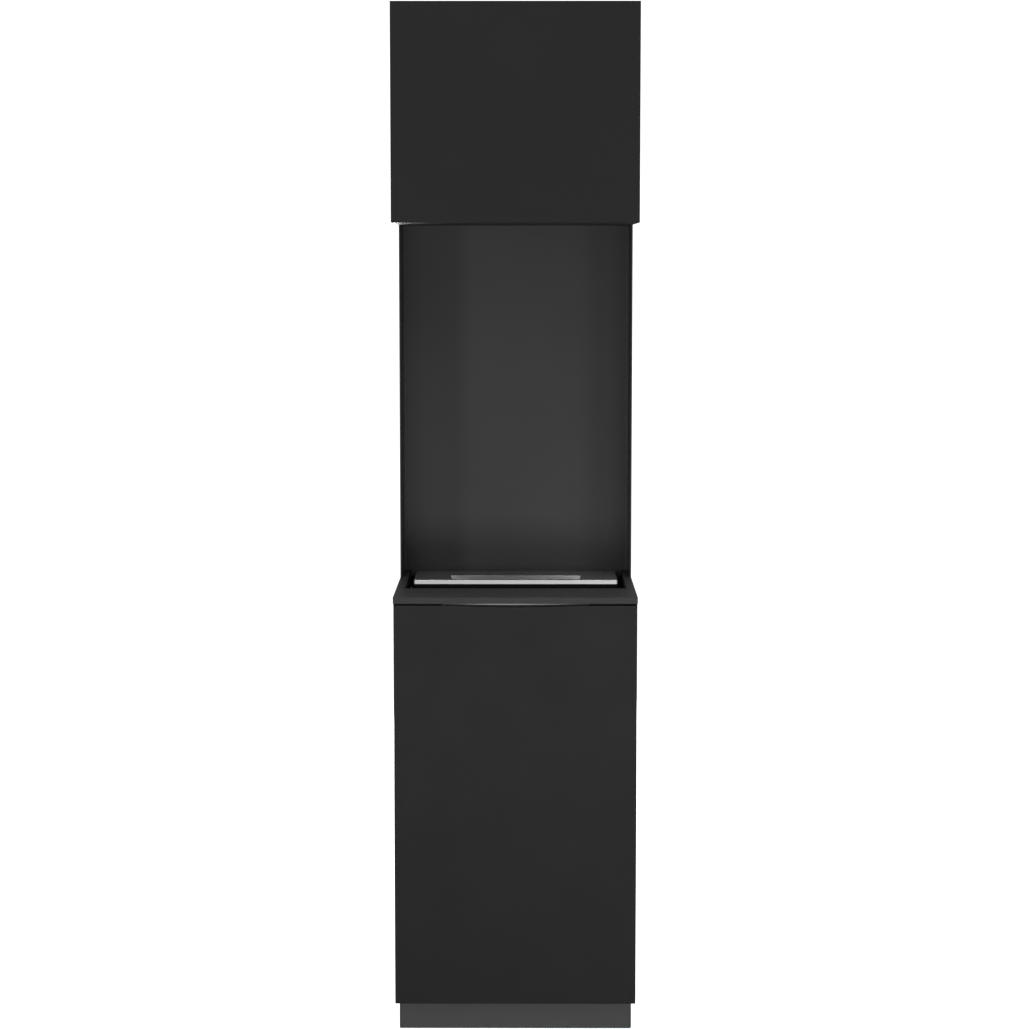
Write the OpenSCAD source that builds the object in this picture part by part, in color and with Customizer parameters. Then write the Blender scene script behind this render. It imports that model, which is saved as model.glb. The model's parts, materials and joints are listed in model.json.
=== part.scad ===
// Tall slim pantry cabinet: a base unit with a larder pull-out, a worktop with a well that holds a
// lidded stainless box, an open niche in front of a folded steel back, and a cupboard above it.
// The origin is on the floor under the middle of the cabinet, +Z is up and the fronts face -Y.

/* [Overall] */
// Width over all
width = 500; // [480:2:560]
// Depth over all, fronts included
depth = 470; // [470:2:520]
// Height over all
height = 2112; // [2082:5:2302]

/* [Levels] */
// Height of the plinth
plinth_h = 65; // [65:1:80]
// Level of the worktop surface
worktop_z = 915; // [900:5:940]
// Clear height of the open niche
niche_h = 759; // [700:1:770]

/* [Boards] */
// Thickness of the carcass boards
board = 16; // [16:0.5:18]
// Thickness of the door and the pull-out front
front_t = 18; // [18:0.5:19]
// Thickness of the worktop slab
worktop_t = 13; // [11:0.5:14]
// Thickness of the two rear panels
back_t = 3; // [3:0.5:3.5]

/* [Steel back] */
// Thickness of the folded steel sheet
sheet = 2.5; // [2:0.5:3]
// Distance from the fronts to the face of the steel back
web_d = 448; // [440:1:448]
// Distance from the fronts to the front edges of the side flanges
flange_d = 320; // [280:5:360]
// Outer radius of the two folds
fold_r = 9; // [6:1:14]

/* [Well and lidded box] */
// Width of the side rails of the worktop beside the well
side_rail = 17.5; // [17:0.5:19]
// Distance from the fronts to the front edge of the well
well_d = 140; // [135:1:142]
// Depth of the well below the underside of the worktop
well_h = 100; // [80:5:110]
// Width of the lidded box
box_w = 438; // [418:2:438]
// Distance from the fronts to the front face of the lidded box
box_d = 270; // [268:1:271]
// Size of the lidded box from front to rear
box_l = 165; // [150:1:166]
// Travel of the lidded box along its rails
box_travel = 120; // [60:5:120]

/* [Finger pulls] */
// Length of the recess in the lid along its front edge
recess_w = 274; // [200:2:290]
// Size of the recess in the lid from front to rear
recess_l = 61; // [50:1:65]
// Length of the scoop in the top edge of the pull-out front
scoop_w = 300; // [200:10:340]
// Drop of the scoop at its middle
scoop_drop = 3; // [2:0.5:5]
// Gap between the worktop and the pull-out front
front_slot = 4; // [3:0.5:6]

/* [Pull-out] */
// Travel of the pull-out
pull_travel = 400; // [300:10:400]
// Height of the tray walls
tray_h = 70; // [50:5:90]
// Distance from one tray to the next
tray_pitch = 230; // [220:5:240]

/* [Hidden] */
$fn = 48;

front_gap = 2;                        // between a closed front and the carcass
face_d = front_t + front_gap;         // front edges of the carcass boards
in_x = width / 2 - board;             // inner faces of the carcass sides
base_top = worktop_z - worktop_t;     // top edges of the base carcass
upper_z = worktop_z + niche_h;        // underside of the upper cupboard
back_d = depth - back_t;              // front faces of the rear panels
rail_d = web_d + sheet;               // front faces of the rails behind the steel back
rail_h = 120;                         // height of those rails
stretcher_l = 100;                    // size of the front rail from front to rear
rebate = 10;                          // overlap of a rear panel on a carcass side
over = 1;                             // how far a cutter runs past a face
slack = 0.3;                          // clearance between pieces that slide or lift

// joinery
dowel_r = 4;
dowel_in_side = 10;                   // reach of a dowel into a side
dowel_in_board = 22;                  // reach of a dowel into a board's end
cam_r = 7.5;
cam_h = 12;
cam_bolt_r = 3;
cam_reach = 24;                       // from a side's inner face to the cam's axis
dowel_ds = [70, 400];
cam_ds = [120, 350];
screw_r = 2;
screw_head_r = 4;
screw_head_t = 1.5;
screw_grip = 12;                      // reach of a screw into a board
niche_screw_xs = [-180, 0, 180];
niche_screw_zs = [base_top - rail_h + 30, upper_z + rail_h - 30];
worktop_screw_xs = [-150, 150];
worktop_screw_ds = [50, 90];

// upper cupboard
shelf_z = upper_z + 211;
shelf_d = 40;
pin_r = 2.5;
pin_l = 8;                            // reach of a shelf pin on each side of the face
pin_ds = [80, 400];
pin_rows = 5;
pin_pitch = 32;
hang_d = back_d - board;              // front face of the hanging rail
wall_hole_r = 3;
wall_hole_gap = 384;                  // between the two wall screws
wall_hole_z = height - board - 30;

// door pivots, measured from the outer edge and the face of the door
pivot_a = 5;
pivot_b = 7;
pivot_x = pivot_a - width / 2;
pivot_pin_r = 2;
pivot_eye_r = 4.5;
pivot_neck = 3.5;                     // half width of the bracket's neck
pivot_plate = 3;                      // thickness of brackets and door plates
pivot_plate_l = 40;
notch_h = pivot_plate + 0.5;

// push latch
latch_x = in_x - 6;                   // axis of the plunger
latch_z = upper_z + 86;
latch_rod_r = 3;
latch_d = [32, 92];
latch_travel = 4;
latch_case = 6;                       // half the height and width of the housing
strike_r = 8;
bumper_r = 4;
bumper_inset = 40;                    // from the ends of the door
run_gap = 0.05;                       // radial clearance of a running fit

// well
well_x = width / 2 - side_rail - 0.5; // outer faces of the liner
well_sheet = 1.5;
well_tab = 19;                        // flange of the liner under the worktop
well_front_d = well_d + 1;
well_rear_d = web_d - screw_head_t - 0.5;
well_floor_z = base_top - well_h;
well_screw_z = base_top - 20;
well_screw_ds = [200, 400];
ledge_z = base_top - 45;              // top of the ledges that carry the box
ledge_w = 9;
ledge_t = 2;
ledge_h = 12;                         // upright leg of a ledge
ledge_leg_t = 1.5;
ledge_end = 4;                        // from a ledge's end to the liner

// lidded box
box_x = box_w / 2;
box_rear_d = box_d + box_l;
box_sheet = 1.5;
box_floor_z = well_floor_z + 8;
lid_t = 2;
lip_h = 8;
lip_t = 2;
lid_side_end = 11;                    // from the rear end of a folded side to the rear of the box
lip_lean = 3;                         // how far the top of the front lip stands back from its foot
box_top = worktop_z - lip_h - slack;  // rim of the box
knuckle_r = 3.5;
knuckle_l = 28;
knuckle_d = box_rear_d + 4;           // axis of the lid hinge
knuckle_z = worktop_z - 4.5;
knuckle_x = 150;                      // where a lid knuckle meets a box knuckle
lid_pin_r = 1.5;
recess_d = box_d + 20;
recess_h = 9;
recess_sheet = 1.2;                   // sheet around the recess
recess_flare = 6;                     // how much wider the recess is at its rear edge, a side
recess_lean = 0.95;                   // slope of its rear wall, forwards for each mm down
stop_l = 3;                           // length of the stops at the ends of the rails
stop_h = 5;
stop_ds = [box_d + 2 - box_travel - slack - stop_l, box_d + box_l - 2 + slack];

// pull-out front
pull_front_z = base_top - front_slot; // top edge of the pull-out front
side_gap = 1;                         // set back of the front from the outer sides
scoop_r = (pow(scoop_w / 2, 2) + pow(scoop_drop, 2)) / (2 * scoop_drop);
scoop_fall = 10;                      // slope of the scoop down to the rear, so that fingers hook behind it

// runners and frame
runner_z = plinth_h + 60;             // middle height of the runners
runner_extra = 30;                    // what a runner's length has beyond its travel
runner_d = [face_d + 4, face_d + 4 + pull_travel + runner_extra];
runner_screw_ds = [runner_d[0] + 56, runner_d[1] - 54];
channel_t = 1.6;
runner_head_t = 1.2;                  // flat heads, which clear the middle channel
// gap from the carcass side to a channel's web, reach of its flanges, half its height
outer_channel = [0, 11, 22.5];
middle_channel = [4, 6.5, 19];
inner_channel = [7, 6, 15.5];
frame_x = in_x - 13;                  // outer faces of the frame
tube = 15;
tube_wall = 1.5;
frame_z = [runner_z - 15, well_floor_z - 15];
frame_d = [front_t + 4, 446];
front_bracket_w = 30;
front_bracket_h = 60;
front_bracket_zs = [frame_z[0] + 40, frame_z[1] - 60];
front_post_d = [frame_d[0], frame_d[0] + tube];
rear_post_d = [frame_d[1] - tube, frame_d[1]];
tray_sheet = 1.5;
tray_count = 3;
tray_z0 = runner_z + tube / 2;        // the lowest tray stands on the side rails

// plinth and feet
plinth_x = width / 2 - 8;
plinth_d = 38;
plinth_t = 16;
plinth_r = 5;
plinth_z = [1, plinth_h - 2];
foot_x = 190;
foot_ds = [110, 400];
foot_pad_r = 25;
foot_pad_h = 10;
foot_stem_r = 9;
foot_stem_l = 45;
socket_r = 14;
socket_flange_r = 30;
socket_flange_t = 4;
socket_z = 30;
clip_z = [socket_z + 6, socket_z + 20];
clip_w = 12;
clip_wall = 3;

charcoal = [0.15, 0.15, 0.155];
slate = [0.27, 0.27, 0.28];
black = [0.06, 0.06, 0.06];
steel = [0.62, 0.63, 0.64];
zinc = [0.75, 0.76, 0.78];
birch = [0.76, 0.64, 0.46];

// ---- helpers: x, d and z are [from, to], and d is the distance behind the fronts ----

module block(x, d, z) {
    translate([x[0], d[0] - depth / 2, z[0]])
        cube([x[1] - x[0], d[1] - d[0], z[1] - z[0]]);
}

module rod_x(x, d, z, r) {
    translate([x[0], d - depth / 2, z]) rotate([0, 90, 0]) cylinder(r = r, h = x[1] - x[0]);
}

module rod_y(x, d, z, r) {
    translate([x, d[1] - depth / 2, z]) rotate([90, 0, 0]) cylinder(r = r, h = d[1] - d[0]);
}

module rod_z(x, d, z, r) {
    translate([x, d - depth / 2, z[0]]) cylinder(r = r, h = z[1] - z[0]);
}

module both_sides() {
    children();
    mirror([1, 0, 0]) children();
}

module left_only() {
    mirror([1, 0, 0]) children();
}

// a tray or tub of sheet, open at the top
module tub(x, d, z, t) {
    difference() {
        block(x, d, z);
        block([x[0] + t, x[1] - t], [d[0] + t, d[1] - t], [z[0] + t, z[1] + over]);
    }
}

// ---- joinery ----

// dowels that join a horizontal board at height z to the right side
module dowels(z, ds, grow = 0) {
    for (d = ds) rod_x([in_x - dowel_in_board - grow, in_x + dowel_in_side + grow], d, z, dowel_r);
}

// a cam and its bolt at height z; up is 1 where the cam is let in from the top of the board
module cams(z, ds, up) {
    for (d = ds) {
        rod_z(in_x - cam_reach, d,
              up > 0 ? [z + board / 2 - cam_h, z + board / 2] : [z - board / 2, z - board / 2 + cam_h],
              cam_r);
        rod_x([in_x - cam_reach, in_x + dowel_in_side], d, z, cam_bolt_r);
    }
}

base_floor_mid = plinth_h + board / 2;
base_rail_mid = base_top - board / 2;
upper_floor_mid = upper_z + board / 2;
upper_roof_mid = height - board / 2;
stretcher_dowel_ds = [40, 100];

module base_joints(grow = 0) {
    dowels(base_floor_mid, dowel_ds, grow);
    dowels(base_rail_mid, stretcher_dowel_ds, grow);
}

module base_cam_set() {
    cams(base_floor_mid, cam_ds, -1);
}

module upper_joints(grow = 0) {
    dowels(upper_floor_mid, dowel_ds, grow);
    dowels(upper_roof_mid, dowel_ds, grow);
}

module upper_cam_set() {
    cams(upper_floor_mid, cam_ds, 1);
    cams(upper_roof_mid, cam_ds, 1);
}

// ---- upper cupboard ----

module shelf_pin_holes() {
    for (d = pin_ds, i = [0 : pin_rows - 1])
        rod_x([in_x - over, in_x + pin_l], d,
              shelf_z - pin_r + (i - (pin_rows - 1) / 2) * pin_pitch, pin_r);
}

module upper_side() {
    color(charcoal) difference() {
        block([in_x, width / 2], [face_d, depth], [upper_z, height]);
        block([in_x - over, in_x + rebate], [back_d, depth + over], [upper_z - over, height + over]);
        upper_joints();
        upper_cam_set();
        shelf_pin_holes();
        both_sides() bracket_pair();
    }
}

module upper_side_left() {
    left_only() upper_side();
}

module upper_side_right() {
    upper_side();
}

module upper_roof() {
    color(charcoal) difference() {
        block([-in_x, in_x], [face_d, back_d], [height - board, height]);
        both_sides() upper_joints();
        both_sides() upper_cam_set();
        bracket_pair();
    }
}

module upper_floor() {
    color(charcoal) difference() {
        block([-in_x, in_x], [face_d, web_d], [upper_z, upper_z + board]);
        both_sides() upper_joints();
        both_sides() upper_cam_set();
        bracket_pair();
    }
}

module wall_holes(d) {
    for (s = [-1, 1]) rod_y(s * wall_hole_gap / 2, d, wall_hole_z, wall_hole_r);
}

module upper_back() {
    color(charcoal) difference() {
        block([-in_x - rebate, in_x + rebate], [back_d, depth], [upper_z, height]);
        wall_holes([back_d - over, depth + over]);
    }
}

module upper_lower_rail() {
    color(charcoal) difference() {
        block([-in_x, in_x], [rail_d, back_d], [upper_z, upper_z + rail_h]);
        niche_screw_set(niche_screw_zs[1]);
    }
}

module upper_hanging_rail() {
    color(charcoal) difference() {
        block([-in_x, in_x], [hang_d, back_d], [height - board - rail_h, height - board]);
        wall_holes([hang_d - over, back_d + over]);
    }
}

module upper_shelf() {
    color(charcoal) block([1 - in_x, in_x - 1], [shelf_d, rail_d - 10], [shelf_z, shelf_z + board]);
}

module shelf_pins() {
    color(zinc) both_sides() for (d = pin_ds)
        rod_x([in_x - pin_l, in_x + pin_l], d, shelf_z - pin_r, pin_r);
}

module upper_dowels() {
    color(birch) both_sides() upper_joints(-1);
}

module upper_cams() {
    color(zinc) both_sides() upper_cam_set();
}

// ---- door, pivots and latch ----

// the plate, neck and eye of one pivot bracket, its lower face at height z
module bracket_shape(z) {
    zs = [z, z + pivot_plate];
    union() {
        rod_z(pivot_x, pivot_b, zs, pivot_eye_r);
        block([pivot_x - pivot_neck, pivot_x + pivot_neck], [pivot_b, face_d + 5], zs);
        block([2 - width / 2, 34 - width / 2], [face_d, face_d + pivot_plate_l], zs);
    }
}

module bracket_pair() {
    bracket_shape(upper_z);
    bracket_shape(height - pivot_plate);
}

// a piece drawn for the lower pivot, and its mirror image for the upper one
module at_both_pivots() {
    children();
    translate([0, 0, upper_z + height]) mirror([0, 0, 1]) children();
}

module door_plate_shape() {
    block([pivot_x - 4, pivot_x + pivot_plate_l], [pivot_b - 4, pivot_b + 4],
          [upper_z + notch_h, upper_z + notch_h + pivot_plate]);
}

module pivot_pin(grow = 0) {
    rod_z(pivot_x, pivot_b, [upper_z, upper_z + 12 + grow], pivot_pin_r + grow);
}

module upper_door() {
    color(charcoal) difference() {
        block([-width / 2, width / 2], [0, front_t], [upper_z, height]);
        at_both_pivots() union() {
            block([-width / 2 - over, pivot_x + 5], [2, front_t + over], [upper_z - over, upper_z + notch_h]);
            door_plate_shape();
            pivot_pin(0.5);
        }
        latch_strike_shape();
    }
}

module pivot_brackets() {
    color(zinc) difference() {
        bracket_pair();
        at_both_pivots() pivot_pin();
    }
}

module pivot_pins() {
    color(steel) at_both_pivots() pivot_pin();
}

module pivot_door_plates() {
    color(zinc) difference() {
        at_both_pivots() door_plate_shape();
        at_both_pivots() pivot_pin(run_gap);
    }
}

module latch_housing() {
    color(slate) difference() {
        block([latch_x - latch_case, in_x], latch_d, [latch_z - latch_case, latch_z + latch_case]);
        rod_y(latch_x, [latch_d[0] - over, latch_d[1] - 8], latch_z, latch_rod_r + run_gap);
    }
}

module latch_plunger() {
    color(black) rod_y(latch_x, [front_t + slack, latch_d[1] - 14 - latch_travel], latch_z, latch_rod_r);
}

module latch_strike_shape() {
    rod_y(latch_x, [front_t - 1, front_t], latch_z, strike_r);
}

module latch_strike() {
    color(zinc) latch_strike_shape();
}

module door_bumpers() {
    color(black) for (z = [upper_z + bumper_inset, height - bumper_inset])
        rod_y(width / 2 - board / 2, [front_t + slack, face_d], z, bumper_r);
}

// ---- niche ----

// outline of the folded sheet seen from above, moved in by inset
module fold_outline(inset) {
    x = width / 2 - inset;
    r = fold_r - inset;
    d = web_d + sheet - inset;
    translate([0, -depth / 2]) union() {
        translate([-x, flange_d - over * inset]) square([2 * x, d - r - flange_d + over * inset]);
        translate([-x + r, d - r - over]) square([2 * (x - r), r + over]);
        for (s = [-1, 1]) translate([s * (x - r), d - r]) circle(r = r);
    }
}

module niche_screw_set(z) {
    for (x = niche_screw_xs) rod_y(x, [web_d, rail_d + screw_grip], z, screw_r);
}

module niche_back() {
    tongue_x = width / 2 - side_rail;
    color(slate) difference() {
        union() {
            translate([0, 0, worktop_z]) linear_extrude(niche_h) difference() {
                fold_outline(0);
                fold_outline(sheet);
            }
            block([-tongue_x, tongue_x], [web_d, rail_d], [base_top - rail_h, upper_z + rail_h]);
        }
        for (z = niche_screw_zs) niche_screw_set(z);
    }
}

module niche_screws() {
    color(zinc) for (z = niche_screw_zs) {
        niche_screw_set(z);
        for (x = niche_screw_xs) rod_y(x, [web_d - screw_head_t, web_d], z, screw_head_r);
    }
}

// ---- worktop, well and lidded box ----

module worktop_screw_shafts() {
    for (x = worktop_screw_xs, d = worktop_screw_ds)
        rod_z(x, d, [base_top - board, worktop_z - 3], screw_r);
}

module worktop() {
    open_x = width / 2 - side_rail;
    color(charcoal) difference() {
        block([-width / 2, width / 2], [0, depth], [base_top, worktop_z]);
        block([-open_x, open_x], [well_d, depth + over], [base_top - over, worktop_z + over]);
        worktop_screw_shafts();
    }
}

module worktop_screws() {
    color(zinc) union() {
        worktop_screw_shafts();
        for (x = worktop_screw_xs, d = worktop_screw_ds)
            rod_z(x, d, [base_top - board - screw_head_t, base_top - board], screw_head_r);
    }
}

module well_screw_shafts() {
    both_sides() for (d = well_screw_ds)
        rod_x([well_x - well_sheet, in_x + screw_grip], d, well_screw_z, screw_r);
}

module well_liner() {
    color(black) difference() {
        union() {
            tub([-well_x, well_x], [well_front_d, well_rear_d], [well_floor_z, base_top], well_sheet);
            block([-well_x, well_x], [well_front_d - well_tab, well_front_d],
                  [base_top - well_sheet, base_top]);
        }
        well_screw_shafts();
    }
}

module well_rails() {
    x = well_x - well_sheet;
    d_range = [well_front_d + ledge_end, well_rear_d - ledge_end];
    color(slate) both_sides() union() {
        block([x - ledge_w, x], d_range, [ledge_z - ledge_t, ledge_z]);
        block([x - ledge_leg_t, x], d_range, [ledge_z, ledge_z + ledge_h]);
        for (d = stop_ds) block([x - ledge_w, x], [d, d + stop_l], [ledge_z, ledge_z + stop_h]);
    }
}

module well_screws() {
    color(zinc) union() {
        well_screw_shafts();
        both_sides() for (d = well_screw_ds)
            rod_x([well_x - well_sheet - 1, well_x - well_sheet], d, well_screw_z, screw_head_r);
    }
}

module knuckle(x, grow = 0) {
    rod_x(x, knuckle_d, knuckle_z, knuckle_r + grow);
}

module lid_pin_shape(grow = 0) {
    both_sides()
        rod_x([knuckle_x - knuckle_l, knuckle_x + knuckle_l], knuckle_d, knuckle_z, lid_pin_r + grow);
}

module insert_box() {
    color(black) difference() {
        union() {
            tub([-box_x, box_x], [box_d, box_rear_d], [box_floor_z, box_top], box_sheet);
            both_sides() block([box_x - over, box_x + ledge_w], [box_d + 2, box_rear_d - 2],
                               [ledge_z + slack, ledge_z + slack + ledge_t]);
            both_sides() union() {
                block([knuckle_x - knuckle_l, knuckle_x], [box_rear_d - over, knuckle_d],
                      [knuckle_z - knuckle_r, box_top]);
                knuckle([knuckle_x - knuckle_l, knuckle_x]);
            }
        }
        lid_pin_shape();
    }
}

// the recess, upright at the front and sloping at the rear, grown by t for the sheet around it
module recess_shape(t) {
    low = worktop_z - lid_t - recess_h - t;
    high = worktop_z + (t > 0 ? -lid_t / 2 : over);
    front = recess_d - t - depth / 2;
    rear = recess_d + recess_l + t - depth / 2;
    half = recess_w / 2 + t;
    intersection() {
        translate([-half - recess_flare, 0, 0]) rotate([90, 0, 90])
            linear_extrude(2 * (half + recess_flare)) polygon([
                [front, high], [front, low],
                [rear - (worktop_z - low) * recess_lean, low], [rear + (high - worktop_z) * recess_lean, high]
            ]);
        translate([0, 0, low - over]) linear_extrude(high - low + 2 * over)
            polygon([[-half, front], [half, front], [half + recess_flare, rear + over],
                     [-half - recess_flare, rear + over]]);
    }
}

// the front lip seen from the side, leaning back from its foot
module front_lip() {
    foot = box_d - depth / 2;
    brow = foot + lip_lean;
    translate([-box_x, 0, 0]) rotate([90, 0, 90]) linear_extrude(2 * box_x) polygon([
        [foot, worktop_z - lip_h], [foot + lip_t, worktop_z - lip_h],
        [brow + lip_t, worktop_z - lid_t / 2], [brow + lip_t, worktop_z], [brow, worktop_z]
    ]);
}

module insert_lid() {
    plate_d = box_d + lip_lean + lip_t / 2;
    color(steel) difference() {
        union() {
            block([-box_x, box_x], [plate_d, box_rear_d], [worktop_z - lid_t, worktop_z]);
            front_lip();
            both_sides() block([box_x - lip_t, box_x], [plate_d, box_rear_d - lid_side_end],
                               [worktop_z - lip_h, worktop_z]);
            recess_shape(recess_sheet);
            both_sides() union() {
                block([knuckle_x + slack, knuckle_x + knuckle_l], [box_rear_d - 2, knuckle_d],
                      [knuckle_z, worktop_z - 1]);
                knuckle([knuckle_x + slack, knuckle_x + knuckle_l]);
            }
        }
        recess_shape(0);
        lid_pin_shape(run_gap);
    }
}

module lid_hinge_pins() {
    color(steel) lid_pin_shape();
}

// ---- base carcass ----

module runner_screw_shafts() {
    for (d = runner_screw_ds) rod_x([in_x - channel_t, in_x + screw_grip], d, runner_z, screw_r);
}

module base_side() {
    color(charcoal) difference() {
        block([in_x, width / 2], [face_d, depth], [plinth_h, base_top]);
        block([in_x - over, in_x + rebate], [back_d, depth + over], [plinth_h - over, base_top + over]);
        base_joints();
        base_cam_set();
        runner_screw_shafts();
        well_screw_shafts();
    }
}

module base_side_left() {
    left_only() base_side();
}

module base_side_right() {
    base_side();
}

module base_floor() {
    color(charcoal) difference() {
        block([-in_x, in_x], [face_d, back_d], [plinth_h, plinth_h + board]);
        both_sides() base_joints();
        both_sides() base_cam_set();
    }
}

module base_back() {
    color(charcoal) block([-in_x - rebate, in_x + rebate], [back_d, depth], [plinth_h, base_top]);
}

module base_front_rail() {
    color(charcoal) difference() {
        block([-in_x, in_x], [face_d, face_d + stretcher_l], [base_top - board, base_top]);
        both_sides() base_joints();
        worktop_screw_shafts();
    }
}

module base_rear_rail() {
    color(charcoal) difference() {
        block([-in_x, in_x], [rail_d, back_d], [base_top - rail_h, base_top]);
        niche_screw_set(niche_screw_zs[0]);
    }
}

module base_dowels() {
    color(birch) both_sides() base_joints(-1);
}

module base_cams() {
    color(zinc) both_sides() base_cam_set();
}

// ---- runners: three nested channels a side, the outer one on the carcass ----

// a channel of the given sizes, open towards the frame
module channel(sizes) {
    t = channel_t;
    wall = in_x - sizes[0];
    reach = sizes[1];
    half = sizes[2];
    union() {
        block([wall - t, wall], runner_d, [runner_z - half, runner_z + half]);
        for (s = [-1, 1]) translate([0, 0, s * (half - t / 2)])
            block([wall - reach, wall], runner_d, [runner_z - t / 2, runner_z + t / 2]);
    }
}

module runner_outer() {
    color(zinc) difference() {
        channel(outer_channel);
        runner_screw_shafts();
    }
}

module runner_middle() {
    color(zinc) channel(middle_channel);
}

module runner_inner() {
    color(zinc) channel(inner_channel);
}

module runner_outer_left() {
    left_only() runner_outer();
}

module runner_outer_right() {
    runner_outer();
}

module runner_middle_left() {
    left_only() runner_middle();
}

module runner_middle_right() {
    runner_middle();
}

module runner_inner_left() {
    left_only() runner_inner();
}

module runner_inner_right() {
    runner_inner();
}

module runner_screws() {
    color(zinc) both_sides() union() {
        runner_screw_shafts();
        for (d = runner_screw_ds)
            rod_x([in_x - channel_t - runner_head_t, in_x - channel_t], d, runner_z, screw_head_r);
    }
}

// ---- pull-out ----

module larder_front() {
    color(charcoal) difference() {
        block([side_gap - width / 2, width / 2 - side_gap], [0, front_t], [plinth_h, pull_front_z]);
        translate([0, -depth / 2, pull_front_z - scoop_drop]) rotate([-scoop_fall, 0, 0])
            translate([0, 2 * front_t, scoop_r]) rotate([90, 0, 0])
                cylinder(r = scoop_r, h = 4 * front_t, $fn = 360);
    }
}

module front_brackets() {
    color(zinc) both_sides() for (z = front_bracket_zs)
        block([frame_x - front_bracket_w, frame_x], [front_t, frame_d[0]],
              [z - front_bracket_h / 2, z + front_bracket_h / 2]);
}

module frame_side_rails() {
    z = [runner_z - tube / 2, runner_z + tube / 2];
    d = [front_post_d[1], rear_post_d[0]];
    w = tube_wall;
    color(slate) both_sides() difference() {
        block([frame_x - tube, frame_x], d, z);
        block([frame_x - tube + w, frame_x - w], [d[0] - over, d[1] + over], [z[0] + w, z[1] - w]);
    }
}

module frame_uprights() {
    w = tube_wall;
    color(slate) difference() {
        both_sides() for (d = [front_post_d, rear_post_d]) difference() {
            block([frame_x - tube, frame_x], d, frame_z);
            block([frame_x - tube + w, frame_x - w], [d[0] + w, d[1] - w],
                  [frame_z[0] - over, frame_z[1] + over]);
        }
        for (i = [0 : tray_count - 1]) tray_screw_shafts(i);
    }
}

module frame_cross_bars() {
    x = frame_x - tube;
    w = tube_wall;
    color(slate) for (d = [front_post_d, rear_post_d], z = [frame_z[0], frame_z[1] - tube])
        difference() {
            block([-x, x], d, [z, z + tube]);
            block([-x - over, x + over], [d[0] + w, d[1] - w], [z + w, z + tube - w]);
        }
}

// the screws of tray i, from inside its end walls into the uprights
module tray_screw_shafts(i) {
    z = tray_z0 + i * tray_pitch + tray_h - 20;
    both_sides() {
        rod_y(frame_x - tube / 2, [front_post_d[1] - 8, front_post_d[1] + tray_sheet], z, screw_r);
        rod_y(frame_x - tube / 2, [rear_post_d[0] - tray_sheet, rear_post_d[0] + 8], z, screw_r);
    }
}

module tray_screw_heads(i) {
    z = tray_z0 + i * tray_pitch + tray_h - 20;
    inner = [front_post_d[1] + tray_sheet, rear_post_d[0] - tray_sheet];
    both_sides() {
        rod_y(frame_x - tube / 2, [inner[0], inner[0] + screw_head_t], z, screw_head_r);
        rod_y(frame_x - tube / 2, [inner[1] - screw_head_t, inner[1]], z, screw_head_r);
    }
}

module tray(i) {
    z = tray_z0 + i * tray_pitch;
    color(slate) difference() {
        tub([-frame_x, frame_x], [front_post_d[1], rear_post_d[0]], [z, z + tray_h], tray_sheet);
        tray_screw_shafts(i);
    }
}

module tray_lower() {
    tray(0);
}

module tray_middle() {
    tray(1);
}

module tray_upper() {
    tray(2);
}

module tray_screws() {
    color(zinc) for (i = [0 : tray_count - 1]) {
        tray_screw_shafts(i);
        tray_screw_heads(i);
    }
}

// ---- plinth and feet ----

module plinth_front() {
    x = plinth_x - plinth_r;
    color(slate) translate([0, plinth_d - depth / 2, plinth_z[0]])
        linear_extrude(plinth_z[1] - plinth_z[0]) union() {
            translate([-x, 0]) square([2 * x, plinth_t]);
            translate([-plinth_x, plinth_r]) square([2 * plinth_x, plinth_t - plinth_r]);
            for (s = [-1, 1]) translate([s * x, plinth_r]) circle(r = plinth_r);
        }
}

module plinth_side() {
    color(slate) block([plinth_x - plinth_t, plinth_x], [plinth_d + plinth_t, back_d - 15], plinth_z);
}

module plinth_side_left() {
    left_only() plinth_side();
}

module plinth_side_right() {
    plinth_side();
}

module foot_spots() {
    for (s = [-1, 1], d = foot_ds) translate([s * foot_x, d - depth / 2, 0]) children();
}

module foot_sockets() {
    color(black) foot_spots() difference() {
        union() {
            translate([0, 0, plinth_h - socket_flange_t]) cylinder(r = socket_flange_r, h = socket_flange_t);
            translate([0, 0, socket_z]) cylinder(r = socket_r, h = plinth_h - socket_z);
        }
        translate([0, 0, socket_z - over]) cylinder(r = foot_stem_r, h = plinth_h - socket_z - 4);
    }
}

module foot_stems() {
    color(black) foot_spots() translate([0, 0, foot_pad_h]) cylinder(r = foot_stem_r, h = foot_stem_l);
}

module foot_pads() {
    color(black) foot_spots() cylinder(r = foot_pad_r, h = foot_pad_h);
}

module plinth_clips() {
    color(black) for (s = [-1, 1]) difference() {
        union() {
            rod_z(s * foot_x, foot_ds[0], clip_z, socket_r + clip_wall);
            block([s * foot_x - clip_w / 2, s * foot_x + clip_w / 2],
                  [plinth_d + plinth_t, foot_ds[0]], clip_z);
        }
        rod_z(s * foot_x, foot_ds[0], [clip_z[0] - over, clip_z[1] + over], socket_r);
    }
}

upper_side_left();
upper_side_right();
upper_roof();
upper_floor();
upper_back();
upper_lower_rail();
upper_hanging_rail();
upper_shelf();
shelf_pins();
upper_dowels();
upper_cams();
upper_door();
pivot_brackets();
pivot_pins();
pivot_door_plates();
latch_housing();
latch_plunger();
latch_strike();
door_bumpers();
niche_back();
niche_screws();
worktop();
worktop_screws();
well_liner();
well_rails();
well_screws();
insert_box();
insert_lid();
lid_hinge_pins();
base_side_left();
base_side_right();
base_floor();
base_back();
base_front_rail();
base_rear_rail();
base_dowels();
base_cams();
runner_outer_left();
runner_outer_right();
runner_middle_left();
runner_middle_right();
runner_inner_left();
runner_inner_right();
runner_screws();
larder_front();
front_brackets();
frame_side_rails();
frame_uprights();
frame_cross_bars();
tray_lower();
tray_middle();
tray_upper();
tray_screws();
plinth_front();
plinth_side_left();
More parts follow.
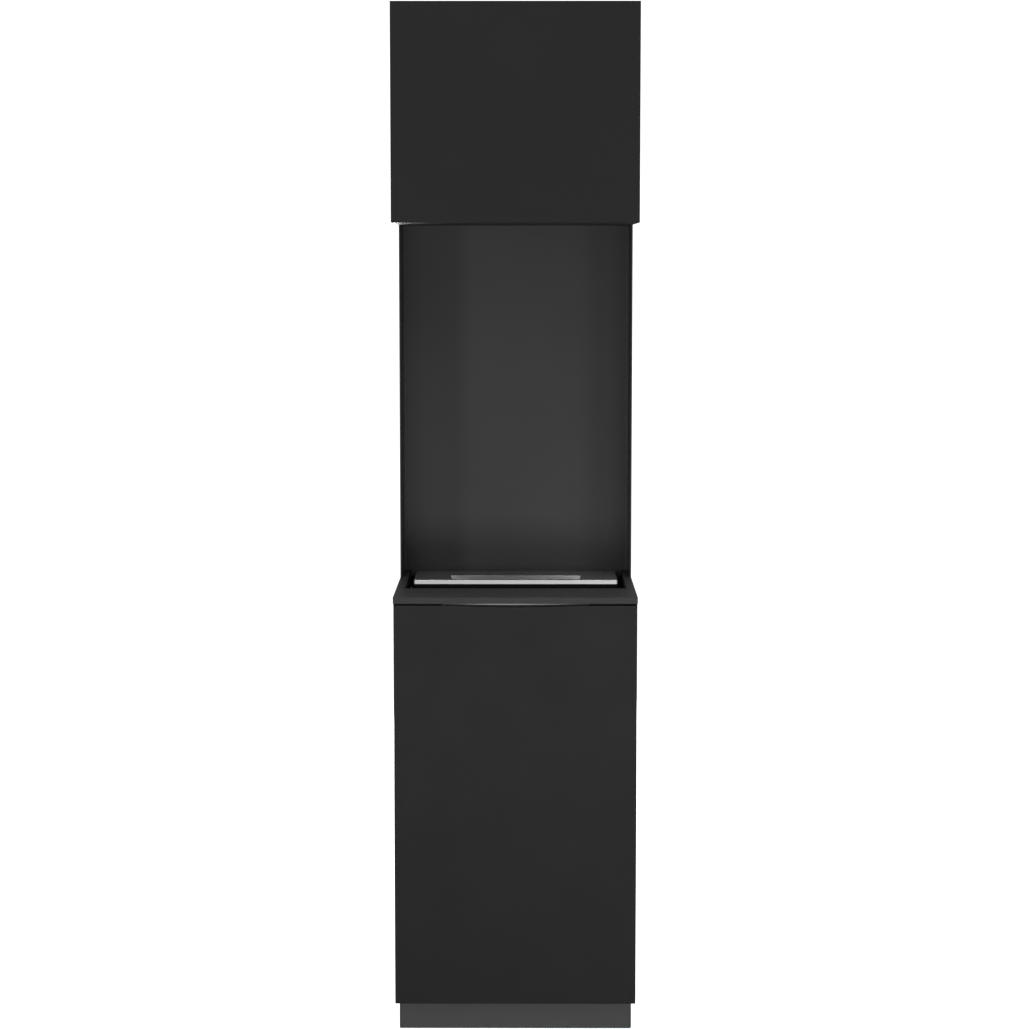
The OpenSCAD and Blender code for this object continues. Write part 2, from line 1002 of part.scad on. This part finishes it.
plinth_side_right();
plinth_clips();
foot_sockets();
foot_stems();
foot_pads();
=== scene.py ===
"""Looks of the tall pantry cabinet: finishes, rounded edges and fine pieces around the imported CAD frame."""

import json
import math

import bmesh
import bpy
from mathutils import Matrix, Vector


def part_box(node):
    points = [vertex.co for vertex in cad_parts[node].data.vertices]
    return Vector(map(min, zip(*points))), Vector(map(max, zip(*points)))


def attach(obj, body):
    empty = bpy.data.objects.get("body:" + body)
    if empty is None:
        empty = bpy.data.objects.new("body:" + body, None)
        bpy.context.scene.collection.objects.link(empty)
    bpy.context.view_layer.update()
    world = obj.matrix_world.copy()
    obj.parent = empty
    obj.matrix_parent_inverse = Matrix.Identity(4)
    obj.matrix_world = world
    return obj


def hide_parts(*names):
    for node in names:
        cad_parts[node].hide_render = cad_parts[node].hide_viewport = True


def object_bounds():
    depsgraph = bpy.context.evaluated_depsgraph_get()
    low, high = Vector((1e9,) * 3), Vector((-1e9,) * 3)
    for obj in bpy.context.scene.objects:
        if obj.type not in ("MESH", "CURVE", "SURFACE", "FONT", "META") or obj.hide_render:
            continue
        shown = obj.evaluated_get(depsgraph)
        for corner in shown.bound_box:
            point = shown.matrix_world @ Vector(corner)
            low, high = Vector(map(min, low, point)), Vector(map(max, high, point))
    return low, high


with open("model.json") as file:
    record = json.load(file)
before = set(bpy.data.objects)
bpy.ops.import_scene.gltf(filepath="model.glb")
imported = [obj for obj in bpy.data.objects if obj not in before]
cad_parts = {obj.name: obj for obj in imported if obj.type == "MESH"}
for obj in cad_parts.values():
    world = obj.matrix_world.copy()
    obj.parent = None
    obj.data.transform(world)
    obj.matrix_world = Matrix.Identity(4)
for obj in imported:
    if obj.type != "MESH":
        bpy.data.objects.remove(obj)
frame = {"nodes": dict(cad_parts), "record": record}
cad_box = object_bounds()
MM = 0.001
FRONT_Y = cad_box[0].y

# ---------------------------------------------------------------- camera and light

CAMERA_RIGHT = 15.9 * MM           # the camera stands this far right of the middle
CAMERA_AWAY = 4978 * MM            # in front of the fronts
CAMERA_HEIGHT = 1604.2 * MM        # eye height of a standing person
CAMERA_DOWN = math.radians(5.952)  # pitch below level
CAMERA_TURN = math.radians(0.19)   # turn to the left
FOCAL_MM = 86.13
SENSOR_MM = 36


def make_camera():
    data = bpy.data.cameras.new("Camera")
    data.lens = FOCAL_MM
    data.sensor_width = SENSOR_MM
    data.clip_end = 60
    camera = bpy.data.objects.new("Camera", data)
    camera.location = (CAMERA_RIGHT, FRONT_Y - CAMERA_AWAY, CAMERA_HEIGHT)
    camera.rotation_euler = (math.pi / 2 - CAMERA_DOWN, 0, CAMERA_TURN)
    bpy.context.scene.collection.objects.link(camera)
    bpy.context.scene.camera = camera


def make_softbox(name, centre, target, size, power):
    """A rectangular area light at centre that faces target."""
    data = bpy.data.lights.new(name, "AREA")
    data.shape = "RECTANGLE"
    data.size, data.size_y = size
    data.energy = power
    light = bpy.data.objects.new(name, data)
    light.location = centre
    aim = Vector(target) - Vector(centre)
    light.rotation_euler = aim.to_track_quat("-Z", "Y").to_euler()
    bpy.context.scene.collection.objects.link(light)


def make_world(level):
    """An even grey surrounding, which fills the shadows."""
    world = bpy.data.worlds.new("Studio")
    world.use_nodes = True
    world.node_tree.nodes["Background"].inputs["Color"].default_value = (level, level, level, 1)
    bpy.context.scene.world = world


# ---------------------------------------------------------------- materials


class Shader:
    """A node material, built a node at a time around one Principled BSDF."""

    def __init__(self, name, **sockets):
        self.material = bpy.data.materials.new(name)
        self.material.use_nodes = True
        self.tree = self.material.node_tree
        self.bsdf = self.tree.nodes["Principled BSDF"]
        self.set(self.bsdf, sockets)

    def set(self, node, sockets):
        for key, value in sockets.items():
            socket = node.inputs[key] if isinstance(key, int) else node.inputs[key.replace("_", " ")]
            if isinstance(value, bpy.types.NodeSocket):
                self.tree.links.new(value, socket)
            else:
                socket.default_value = value

    def add(self, kind, **sockets):
        node = self.tree.nodes.new(kind)
        self.set(node, sockets)
        return node

    def place(self, stretch=(1, 1, 1)):
        """Object coordinates in metres, stretched along each axis."""
        mapping = self.add("ShaderNodeMapping")
        mapping.inputs["Scale"].default_value = stretch
        texture = self.add("ShaderNodeTexCoord")
        self.tree.links.new(texture.outputs["Object"], mapping.inputs["Vector"])
        return mapping.outputs["Vector"]

    def noise(self, scale, detail=2.0, stretch=(1, 1, 1), roughness=0.5):
        node = self.add("ShaderNodeTexNoise", Vector=self.place(stretch), Scale=scale,
                        Detail=detail, Roughness=roughness)
        return node.outputs["Fac"]

    def between(self, factor, low, high):
        """A number that goes from low to high as factor goes from 0.3 to 0.7."""
        node = self.add("ShaderNodeMapRange", Value=factor)
        node.inputs["From Min"].default_value = 0.3
        node.inputs["From Max"].default_value = 0.7
        node.inputs["To Min"].default_value = low
        node.inputs["To Max"].default_value = high
        return node.outputs["Result"]

    def tint(self, factor, low, high):
        """A colour that goes from low to high with factor."""
        node = self.add("ShaderNodeMix")
        node.data_type = "RGBA"
        self.set(node, {0: factor, 6: (*low, 1), 7: (*high, 1)})
        return node.outputs[2]

    def times(self, one, other):
        node = self.add("ShaderNodeMath")
        node.operation = "MULTIPLY"
        self.set(node, {0: one, 1: other})
        return node.outputs[0]

    def bump(self, height, distance, strength=1.0, under=None):
        node = self.add("ShaderNodeBump", Height=height, Distance=distance, Strength=strength)
        if under is not None:
            self.tree.links.new(under, node.inputs["Normal"])
        return node.outputs["Normal"]

    def finish(self, **sockets):
        self.set(self.bsdf, sockets)
        return self.material


def grey(value):
    return (value, value, value)


def lacquer():
    """Deep matt lacquer with a faint orange peel and slightly polished patches from handling."""
    s = Shader("front_lacquer", Specular_IOR_Level=0.2)
    cloud = s.noise(3.2, 3, roughness=0.6)
    colour = s.tint(s.between(cloud, 0, 1), grey(0.0098), grey(0.0112))
    peel = s.noise(620, 2)
    fine = s.noise(2600, 1)
    normal = s.bump(peel, 0.00005, 0.5)
    normal = s.bump(fine, 0.00002, 0.35, under=normal)
    rough = s.between(s.noise(9, 4), 0.6, 0.66)
    return s.finish(Base_Color=colour, Roughness=rough, Normal=normal)


def board():
    """Melamine-faced board in the colour of the fronts, with a fine pore."""
    s = Shader("carcass_board", Specular_IOR_Level=0.22)
    cloud = s.noise(5, 3)
    colour = s.tint(s.between(cloud, 0, 1), grey(0.021), grey(0.026))
    pore = s.noise(1900, 3, stretch=(1, 1, 0.35))
    normal = s.bump(pore, 0.00006, 0.6)
    rough = s.between(s.noise(14, 3), 0.5, 0.58)
    return s.finish(Base_Color=colour, Roughness=rough, Normal=normal)


def slab():
    """Thin honed slab: a fine mineral grain in two tones."""
    s = Shader("worktop_slab", Specular_IOR_Level=0.12)
    grain = s.noise(1500, 6, roughness=0.7)
    cloud = s.noise(22, 4)
    colour = s.tint(s.between(s.times(grain, s.between(cloud, 0.85, 1.15)), 0, 1), grey(0.024), grey(0.033))
    normal = s.bump(grain, 0.00008, 0.5)
    rough = s.between(s.noise(300, 3), 0.38, 0.48)
    return s.finish(Base_Color=colour, Roughness=rough, Normal=normal)


def powder_coat(name, low, high, rough, shine):
    """Powder coat: small even dimples over sheet metal."""
    s = Shader(name, Specular_IOR_Level=shine)
    cloud = s.noise(2.5, 3)
    colour = s.tint(s.between(cloud, 0, 1), grey(low), grey(high))
    dimple = s.noise(850, 2)
    normal = s.bump(dimple, 0.00006, 0.4)
    spread = s.between(s.noise(6, 4), rough - 0.03, rough + 0.03)
    return s.finish(Base_Color=colour, Roughness=spread, Normal=normal)


def brushed_steel(name, low, high):
    """Stainless steel brushed along the width, with a few deeper scratches."""
    s = Shader(name, Metallic=1.0)
    brush = s.noise(1.0, 6, stretch=(24, 5200, 5200), roughness=0.75)
    smear = s.noise(1.0, 3, stretch=(6, 60, 60))
    colour = s.tint(s.between(brush, 0, 1), grey(low), grey(high))
    normal = s.bump(brush, 0.00001, 0.05)
    rough = s.between(smear, 0.3, 0.34)
    return s.finish(Base_Color=colour, Roughness=rough, Normal=normal)


def zinc():
    """Bright zinc plate with the faint spangle of the bath."""
    s = Shader("zinc_hardware", Metallic=1.0)
    cell = s.add("ShaderNodeTexVoronoi", Vector=s.place(), Scale=420.0)
    colour = s.tint(cell.outputs["Distance"], (0.50, 0.51, 0.53), (0.66, 0.67, 0.69))
    rough = s.between(s.noise(160, 3), 0.26, 0.4)
    normal = s.bump(s.noise(700, 3), 0.00003, 0.4)
    return s.finish(Base_Color=colour, Roughness=rough, Normal=normal)


def moulded(name, low, high, rough):
    """Moulded plastic with a fine spark-eroded texture."""
    s = Shader(name, Specular_IOR_Level=0.45)
    spark = s.noise(2100, 3)
    colour = s.tint(s.between(s.noise(11, 2), 0, 1), grey(low), grey(high))
    normal = s.bump(spark, 0.00008, 0.55)
    spread = s.between(s.noise(30, 2), rough - 0.04, rough + 0.04)
    return s.finish(Base_Color=colour, Roughness=spread, Normal=normal)


def birch():
    """Turned birch: pale grain along the dowel."""
    s = Shader("birch_dowel", Specular_IOR_Level=0.35)
    rings = s.noise(1.0, 5, stretch=(14, 900, 900), roughness=0.6)
    colour = s.tint(s.between(rings, 0, 1), (0.42, 0.30, 0.17), (0.60, 0.46, 0.29))
    normal = s.bump(rings, 0.0002, 0.5)
    return s.finish(Base_Color=colour, Roughness=s.between(rings, 0.55, 0.7), Normal=normal)


SLOT_MATERIALS = {
    "front_lacquer": lacquer(),
    "carcass_board": board(),
    "worktop_slab": slab(),
    "steel_back": powder_coat("steel_back", 0.047, 0.053, 0.6, 0.16),
    "stainless": brushed_steel("stainless", 0.6, 0.65),
    "black_metal": powder_coat("black_metal", 0.004, 0.0052, 0.6, 0.12),
    "frame_metal": powder_coat("frame_metal", 0.030, 0.037, 0.42, 0.4),
    "zinc_hardware": zinc(),
    "plinth_board": moulded("plinth_board", 0.050, 0.054, 0.45),
    "black_plastic": moulded("black_plastic", 0.011, 0.014, 0.5),
    "birch_dowel": birch(),
}

DULL_STEEL = brushed_steel("dull_steel", 0.10, 0.13)

# ---------------------------------------------------------------- CAD nodes that stay


def node_slots():
    return {part["node"]: part["material_slot"] for part in frame["record"]["subparts"]}


EDGE_MM = {                        # how far the edges of each finish are rounded
    "front_lacquer": 0.9,
    "carcass_board": 0.5,
    "worktop_slab": 0.8,
    "steel_back": 0.4,
    "stainless": 0.3,
    "black_metal": 0.3,
    "frame_metal": 0.35,
    "zinc_hardware": 0.25,
    "plinth_board": 0.6,
    "black_plastic": 0.4,
    "birch_dowel": 0.3,
}


def round_edges(piece, radius, segments=3):
    """Welds the shading seams, rounds every sharp edge and smooths what is left."""
    weld = piece.modifiers.new("weld", "WELD")
    weld.merge_threshold = 0.00001
    bevel = piece.modifiers.new("edges", "BEVEL")
    bevel.width = radius
    bevel.segments = segments
    bevel.limit_method = "ANGLE"
    bevel.angle_limit = math.radians(35)
    bevel.use_clamp_overlap = True
    even_shading(piece)


def even_shading(piece):
    """Smooths the surface, with the large flat faces kept flat up to their rounded edges."""
    for face in piece.data.polygons:
        face.use_smooth = True
    even = piece.modifiers.new("even", "WEIGHTED_NORMAL")
    even.mode = "FACE_AREA_WITH_ANGLE"
    even.weight = 100
    even.thresh = 0


def dress_cad_nodes():
    slots = node_slots()
    for name, piece in frame["nodes"].items():
        slot = slots[name]
        piece.data.materials.clear()
        piece.data.materials.append(SLOT_MATERIALS[slot])
        round_edges(piece, EDGE_MM[slot] * MM)


# ---------------------------------------------------------------- building pieces from rings


def corner_ring(x, y, z, radius, steps=5, flare=0.0):
    """Points round a rounded rectangle; flare widens it at the rear, and z may depend on the point."""
    (x0, x1), (y0, y1) = x, y
    height = z if callable(z) else lambda px, py: z
    corners = [(x1 - radius, y0 + radius, -90, 0), (x1 + flare - radius, y1 - radius, 0, 1),
               (x0 - flare + radius, y1 - radius, 90, 1), (x0 + radius, y0 + radius, 180, 0)]
    points = []
    for cx, cy, start, rear in corners:
        for step in range(steps + 1):
            angle = math.radians(start + 90 * step / steps)
            px, py = cx + radius * math.cos(angle), cy + radius * math.sin(angle)
            points.append((px, py, height(px, py)))
    return points


def disc_ring(centre, axis, radius, along, count=32):
    """Points on a circle about an axis through centre, at a distance along it."""
    turn = Vector((0, 0, 1)).rotation_difference(Vector(axis))
    points = []
    for step in range(count):
        angle = math.tau * step / count
        flat = Vector((radius * math.cos(angle), radius * math.sin(angle), along))
        points.append(Vector(centre) + turn @ flat)
    return points


def loft(bm, rings, cap_start=True, cap_end=True):
    """Joins rings of equally many points into one skin."""
    made = [[bm.verts.new(point) for point in ring] for ring in rings]
    count = len(made[0])
    for low, high in zip(made, made[1:]):
        for i in range(count):
            j = (i + 1) % count
            bm.faces.new((low[i], low[j], high[j], high[i]))
    if cap_start:
        bm.faces.new(made[0][::-1])
    if cap_end:
        bm.faces.new(made[-1])


def turned(bm, centre, axis, profile, count=32):
    """A turned piece: profile is a list of (radius, distance along the axis)."""
    loft(bm, [disc_ring(centre, axis, radius, along, count) for radius, along in profile])


def rounded(radius, start, end, steps=4):
    """Pairs (sine, 1 - cosine) times radius for a quarter round between two angles in degrees."""
    angles = [math.radians(start + (end - start) * step / steps) for step in range(steps + 1)]
    return [(radius * math.sin(a), radius * (1 - math.cos(a))) for a in angles]


def finish_piece(name, bm, slot, body, stands_for=(), thickness=0.0, material=None):
    """Makes an object of the mesh, gives it its finish and puts it on its body."""
    bmesh.ops.recalc_face_normals(bm, faces=bm.faces)
    mesh = bpy.data.meshes.new(name)
    bm.to_mesh(mesh)
    bm.free()
    piece = bpy.data.objects.new(name, mesh)
    bpy.context.scene.collection.objects.link(piece)
    if thickness:
        shell = piece.modifiers.new("sheet", "SOLIDIFY")
        shell.thickness = thickness
        shell.offset = -1
        shell.use_even_offset = True
    even_shading(piece)
    mesh.materials.append(material or SLOT_MATERIALS[slot])
    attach(piece, body)
    if stands_for:
        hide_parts(*stands_for)
    return piece


# ---------------------------------------------------------------- lid of the sliding box


LID_REAR_GAP = 4 * MM                  # from the lid's rear edge to the axis of its hinge


def joint_place(name):
    """Where a joint's axis passes, in the row frame."""
    joint = next(j for j in frame["record"]["behaviour"]["joints"] if j["name"] == name)
    return Vector(joint["pos_m"])


def lid_recess_rings(foot, top):
    """The finger recess: floor, bend, walls and the rounded brink, from the bottom to the top."""
    half_w, from_foot, length, depth = 137 * MM, 20 * MM, 61 * MM, 11 * MM
    rear_slope, flare, corner = 9.4 * MM, 6 * MM, 2 * MM
    bend, brink = 3 * MM, 1.2 * MM
    front, rear = foot + from_foot, foot + from_foot + length
    bend_share, floor_flare = 0.6, flare * 0.8
    rings = []
    for out, down in rounded(bend, 0, 75):
        shut = (bend - out) * bend_share
        rings.append(corner_ring((-half_w + bend - out, half_w - bend + out),
                                 (front + shut, rear - rear_slope - shut),
                                 top - depth + down, corner, flare=floor_flare))
    for out, down in reversed(rounded(brink, 0, 80)):
        shut = brink - out
        rings.append(corner_ring((-half_w - shut + brink / 2, half_w + shut - brink / 2),
                                 (front - shut, rear + shut), top - down, corner, flare=flare))
    return rings


def make_lid_sheet():
    """Pressed steel lid: leaning front lip, folded sides and a finger recess that widens to the rear."""
    low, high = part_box("insert_lid")
    axis = joint_place("lid_hinge")
    top, foot, half = high.z, low.y, high.x
    rear = axis.y - LID_REAR_GAP
    plate, lip_h, lean, corner, edge = 2 * MM, 8 * MM, 3 * MM, 3 * MM, 1.5 * MM
    side_end = 1.5 * MM                # the folded sides stop this far short of the rear edge

    def fold_foot(px, py):
        return top - plate if py > rear - side_end else top - lip_h

    rings = lid_recess_rings(foot, top)
    for out, down in rounded(edge, 0, 90):
        shut = edge - out
        rings.append(corner_ring((-half + shut, half - shut), (foot + lean + shut, rear - shut),
                                 top - down, corner))
    rings.append(corner_ring((-half, half), (foot, rear), fold_foot, corner))
    bm = bmesh.new()
    loft(bm, rings, cap_end=False)
    finish_piece("lid_sheet", bm, "stainless", "lid", ("insert_lid",), thickness=1.2 * MM)


def make_lid_knuckles():
    """The two knuckles the lid turns on, each under a leaf of the plate."""
    axis = joint_place("lid_hinge")
    top, pin_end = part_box("insert_lid")[1].z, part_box("lid_hinge_pins")[1].x
    length, radius, chamfer = 27.7 * MM, 3.5 * MM, 0.4 * MM
    leaf_low, leaf_high, leaf_l = axis.z + 1.5 * MM, top - 0.9 * MM, 6 * MM
    rear = axis.y - LID_REAR_GAP
    profile = [(radius - chamfer, 0), (radius, chamfer), (radius, length - chamfer),
               (radius - chamfer, length)]
    bm = bmesh.new()
    for side in (-1, 1):
        outer = side * pin_end
        turned(bm, Vector((outer, axis.y, axis.z)), (-side, 0, 0), profile)
        leaf_x = sorted((outer, outer - side * length))
        loft(bm, [corner_ring(leaf_x, (rear - leaf_l, axis.y), z, 0.3 * MM, 2)
                  for z in (leaf_low, leaf_high)])
    finish_piece("lid_knuckles", bm, "stainless", "lid")


# ---------------------------------------------------------------- trays of the pull-out


def make_tray(node):
    """Folded tray with rounded bends and a hem rolled inwards along the rim."""
    low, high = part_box(node)
    sheet, corner, bend, hem = 1.5 * MM, 3 * MM, 3 * MM, 2 * MM
    smallest_corner, hem_steps = 0.6 * MM, 8

    def ring(inset, z):
        return corner_ring((low.x + inset, high.x - inset), (low.y + inset, high.y - inset), z,
                           max(corner - inset, smallest_corner))

    rings = [ring(bend - out, low.z + up) for out, up in rounded(bend, 0, 90)]
    for step in range(hem_steps + 1):
        turn = math.pi * step / hem_steps
        rings.append(ring(hem * (1 - math.cos(turn)), high.z - hem + hem * math.sin(turn)))
    rings.append(ring(2 * hem, high.z - 3 * hem))
    rings.append(ring(sheet, high.z - 3.4 * hem))
    floor_z = low.z + sheet
    for out, up in reversed(rounded(bend - sheet, 0, 90)):
        rings.append(ring(bend - out, floor_z + up))
    bm = bmesh.new()
    loft(bm, rings)
    finish_piece(node + "_folded", bm, "frame_metal", "pullout", (node,))


def make_tube_caps():
    """Plastic plugs in the open ends of the upright tubes."""
    low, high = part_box("frame_uprights")
    tube, wall, plug_h, brim = 15 * MM, 3 * MM, 8 * MM, 1.5 * MM
    for side in (-1, 1):
        outer = side * high.x
        x0, x1 = sorted((outer, outer - side * tube))
        for end, y0 in (("front", low.y), ("rear", high.y - tube)):
            y1 = y0 + tube
            plug_x, plug_y = (x0 + wall, x1 - wall), (y0 + wall, y1 - wall)
            rings = [corner_ring(plug_x, plug_y, z, 0.5 * MM) for z in (high.z - plug_h, high.z)]
            for out, up in rounded(brim, 0, 90):
                shut = up * 0.8
                rings.append(corner_ring((x0 + shut, x1 - shut), (y0 + shut, y1 - shut),
                                         high.z + up, 1.2 * MM))
            bm = bmesh.new()
            loft(bm, rings)
            hand = "right" if side > 0 else "left"
            finish_piece(f"tube_cap_{end}_{hand}", bm, "black_plastic", "pullout")


# ---------------------------------------------------------------- screws


def islands(node):
    """(lowest corner, highest corner, vertices) of each separate solid of a CAD node."""
    bm = bmesh.new()
    bm.from_mesh(frame["nodes"][node].data)
    bmesh.ops.remove_doubles(bm, verts=bm.verts, dist=0.01 * MM)
    left = set(bm.verts)
    found = []
    while left:
        seen, edge = set(), [left.pop()]
        while edge:
            vertex = edge.pop()
            seen.add(vertex)
            edge += [e.other_vert(vertex) for e in vertex.link_edges if e.other_vert(vertex) not in seen]
        left -= seen
        points = [vertex.co.copy() for vertex in seen]
        low = Vector([min(p[i] for p in points) for i in range(3)])
        high = Vector([max(p[i] for p in points) for i in range(3)])
        found.append((low, high, points))
    bm.free()
    return sorted(found, key=lambda island: tuple(round(v, 4) for v in island[0]))


def cross_ring(centre, axis, reach, along, count=48):
    """A ring in the shape of a cross recess: four arms, drawn in between them."""
    arm_half_angle, waist = 14, 0.42
    circle = disc_ring(centre, axis, reach, along, count)
    middle = sum(circle, Vector()) / count
    points = []
    for step, point in enumerate(circle):
        off = abs((360 * step / count + 45) % 90 - 45)
        points.append(middle + (point - middle) * (1.0 if off < arm_half_angle else waist))
    return points


def add_screw(bm, island):
    """A pan head with a cross recess on a plain shank, in the place of one drawn screw."""
    low, high, points = island
    size = high - low
    along = max(range(3), key=lambda i: size[i])
    across = [i for i in range(3) if i != along]
    middle = (low + high) / 2
    head_r = size[across[0]] / 2
    length = size[along]

    def spread(point):
        return math.hypot(*(point[i] - middle[i] for i in across))

    head = [p[along] for p in points if spread(p) > head_r * 0.9]
    shank_r = min(spread(p) for p in points if spread(p) > head_r * 0.2)
    head_t = max(head) - min(head)
    sign = 1 if sum(head) / len(head) > middle[along] else -1
    axis = Vector([sign if i == along else 0 for i in range(3)])
    centre = middle.copy()
    centre[along] = high[along] if sign > 0 else low[along]
    tip_l, tip_r = 2 * MM, shank_r * 0.4
    crown_in, crown_drop = head_t * 0.4, head_t * 0.55
    profile = [(tip_r, -length), (shank_r, -length + tip_l), (shank_r, -head_t), (head_r, -head_t)]
    for step in range(5):
        angle = math.radians(step * 22.5)
        profile.append((head_r - crown_in * (1 - math.cos(angle)), -crown_drop * (1 - math.sin(angle))))
    rings = [disc_ring(centre, axis, radius, reach, 48) for radius, reach in profile]
    rings.append(cross_ring(centre, axis, head_r * 0.62, 0))
    rings.append(cross_ring(centre, axis, head_r * 0.5, -head_t * 0.7))
    loft(bm, rings)


SCREWS = {
    "niche_screws": "carcass",
    "worktop_screws": "carcass",
    "well_screws": "carcass",
    "runner_screws": "carcass",
    "tray_screws": "pullout",
}


def make_screws(node, body):
    bm = bmesh.new()
    for island in islands(node):
        add_screw(bm, island)
    finish_piece(node + "_pan_heads", bm, "zinc_hardware", body, (node,))


def make_cams(node, up):
    """Connector cams with a cross recess in the face that shows, and their bolts."""
    cam_r, bolt_r, chamfer, recess_depth = 7.5 * MM, 3 * MM, 0.5 * MM, 3 * MM
    bm = bmesh.new()
    for low, high, points in islands(node):
        side = 1 if low.x > 0 else -1
        inner, outer = (low.x, high.x) if side > 0 else (high.x, low.x)
        face_z = high.z if up > 0 else low.z
        centre = Vector((inner + side * cam_r, (low.y + high.y) / 2, face_z))
        depth = high.z - low.z
        rings = [disc_ring(centre, (0, 0, up), radius, along, 48)
                 for radius, along in ((cam_r, -depth), (cam_r, -chamfer), (cam_r - chamfer, 0))]
        rings.append(cross_ring(centre, (0, 0, up), cam_r * 0.55, 0))
        rings.append(cross_ring(centre, (0, 0, up), cam_r * 0.45, -recess_depth))
        loft(bm, rings)
        tips = [p.z for p in points if abs(p.x - outer) < chamfer]
        start = Vector((centre.x, centre.y, sum(tips) / len(tips)))
        length = abs(outer - centre.x)
        turned(bm, start, (side, 0, 0), [(bolt_r, 0), (bolt_r, length - chamfer), (bolt_r - chamfer, length)])
    finish_piece(node + "_crossed", bm, "zinc_hardware", "carcass", (node,))


# ---------------------------------------------------------------- feet and the front rail


def foot_pad(bm, centre, r, h):
    """A ribbed pad: profile and ribs are shares of its radius and height."""
    profile = ((0.9, 0), (1, 0.15), (1, 0.4), (0.97, 0.5), (0.62, 0.72), (0.56, 0.78), (0.56, 1))
    turned(bm, centre, (0, 0, 1), [(r * share, h * rise) for share, rise in profile], 40)
    rib_count, rib_half, rib_foot = 8, 1.2 * MM, h * 0.3
    for rib in range(rib_count):
        angle = math.tau * rib / rib_count
        out = Vector((math.cos(angle), math.sin(angle), 0))
        side = Vector((-out.y, out.x, 0)) * rib_half
        ends = []
        for reach, rib_top in ((r * 0.5, h * 0.95), (r * 0.93, h * 0.52)):
            low, high = centre + out * reach, centre + out * reach
            low.z += rib_foot
            high.z += rib_top
            ends.append([low - side, low + side, high + side, high - side])
        loft(bm, ends)


def foot_stem(bm, centre, r, h):
    """A stem with a coarse round thread."""
    pitch, groove = 2.5 * MM, 0.7 * MM
    profile = [(r - groove, 0)]
    for turn in range(int(h / pitch)):
        start = turn * pitch
        profile += [(r, start + 0.35 * pitch), (r, start + 0.6 * pitch), (r - groove, start + 0.95 * pitch)]
    profile.append((r - groove, h))
    turned(bm, centre, (0, 0, 1), profile, 36)


def make_feet(node, shape, name):
    """One foot piece in the place of each drawn solid of a node."""
    bm = bmesh.new()
    for low, high, _ in islands(node):
        centre = Vector(((low.x + high.x) / 2, (low.y + high.y) / 2, low.z))
        shape(bm, centre, (high.x - low.x) / 2, high.z - low.z)
    finish_piece(name, bm, "black_plastic", "carcass", (node,))


def make_rail_strip():
    """Dull steel strip on the edge of the front rail, seen through the scoop of the pull-out front."""
    low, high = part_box("base_front_rail")
    thick, inset, half = 0.6 * MM, 0.5 * MM, 150 * MM
    bm = bmesh.new()
    x = (-half, half)
    loft(bm, [corner_ring(x, (low.y - thick, low.y), z, 0.25 * MM, 3)
              for z in (low.z + inset, high.z - inset)])
    finish_piece("front_rail_strip", bm, "stainless", "carcass", material=DULL_STEEL)


# ---------------------------------------------------------------- stage


def make_stage():
    """A pale floor that rises into a backdrop both behind and in front of the cabinet."""
    mesh = bpy.data.meshes.new("backdrop")
    half, bend_y, radius, top, steps = 30, 7.0, 1.6, 9, 16
    rise = [(bend_y, 0.0)]
    for step in range(1, steps + 1):
        angle = math.pi / 2 * step / steps
        rise.append((bend_y + radius * math.sin(angle), radius * (1 - math.cos(angle))))
    rise.append((bend_y + radius, top))
    profile = [(-y, z) for y, z in reversed(rise)] + rise
    points = [(x, y, z) for y, z in profile for x in (-half, half)]
    faces = [(2 * i, 2 * i + 1, 2 * i + 3, 2 * i + 2) for i in range(len(profile) - 1)]
    mesh.from_pydata(points, [], faces)
    for face in mesh.polygons:
        face.use_smooth = True
    floor = bpy.data.objects.new("backdrop", mesh)
    bpy.context.scene.collection.objects.link(floor)
    s = Shader("backdrop", Roughness=0.9, Specular_IOR_Level=0.1)
    colour = s.tint(s.between(s.noise(1.5, 2), 0, 1), grey(0.86), grey(0.88))
    glow = s.finish(Base_Color=colour, Emission_Color=(1, 1, 1, 1), Emission_Strength=0.95)
    floor.data.materials.append(glow)
    floor.visible_glossy = False       # the studio round the cabinet stays dim: the pale backdrop
    floor.visible_diffuse = False      # neither mirrors in the cabinet nor lights it from below


dress_cad_nodes()
make_lid_sheet()
make_lid_knuckles()
for tray_node in ("tray_lower", "tray_middle", "tray_upper"):
    make_tray(tray_node)
make_tube_caps()
for screw_node, screw_body in SCREWS.items():
    make_screws(screw_node, screw_body)
make_cams("upper_cams", 1)
make_cams("base_cams", -1)
make_feet("foot_pads", foot_pad, "foot_pads_ribbed")
make_feet("foot_stems", foot_stem, "foot_stems_threaded")
make_rail_strip()
make_camera()
make_world(0.2)
make_softbox("front", (-0.9, -4.2, 0.7), (0, 0, 0.9), (1.4, 2.0), 20)
make_softbox("low_front", (0.3, -2.4, 0.5), (0.1, 0, 0.3), (1.6, 0.4), 18)
make_softbox("left", (-2.3, -1.9, 1.2), (0.2, 0.4, 1.2), (0.4, 1.4), 18)
make_softbox("right", (1.5, -1.7, 0.9), (0, -0.1, 1.0), (0.4, 1.8), 8)
make_softbox("high", (0.8, -3.4, 4.0), (0, 0, 1.2), (3.0, 1.8), 11)
make_softbox("overhead", (0.4, -1.3, 5.4), (0.2, 0, 0.9), (3.6, 2.0), 205)
make_softbox("low_rear", (-0.9, 3.4, 0.45), (0, 0.3, 1.0), (2.4, 0.6), 90)
make_stage()
bpy.context.scene.view_settings.view_transform = "Standard"
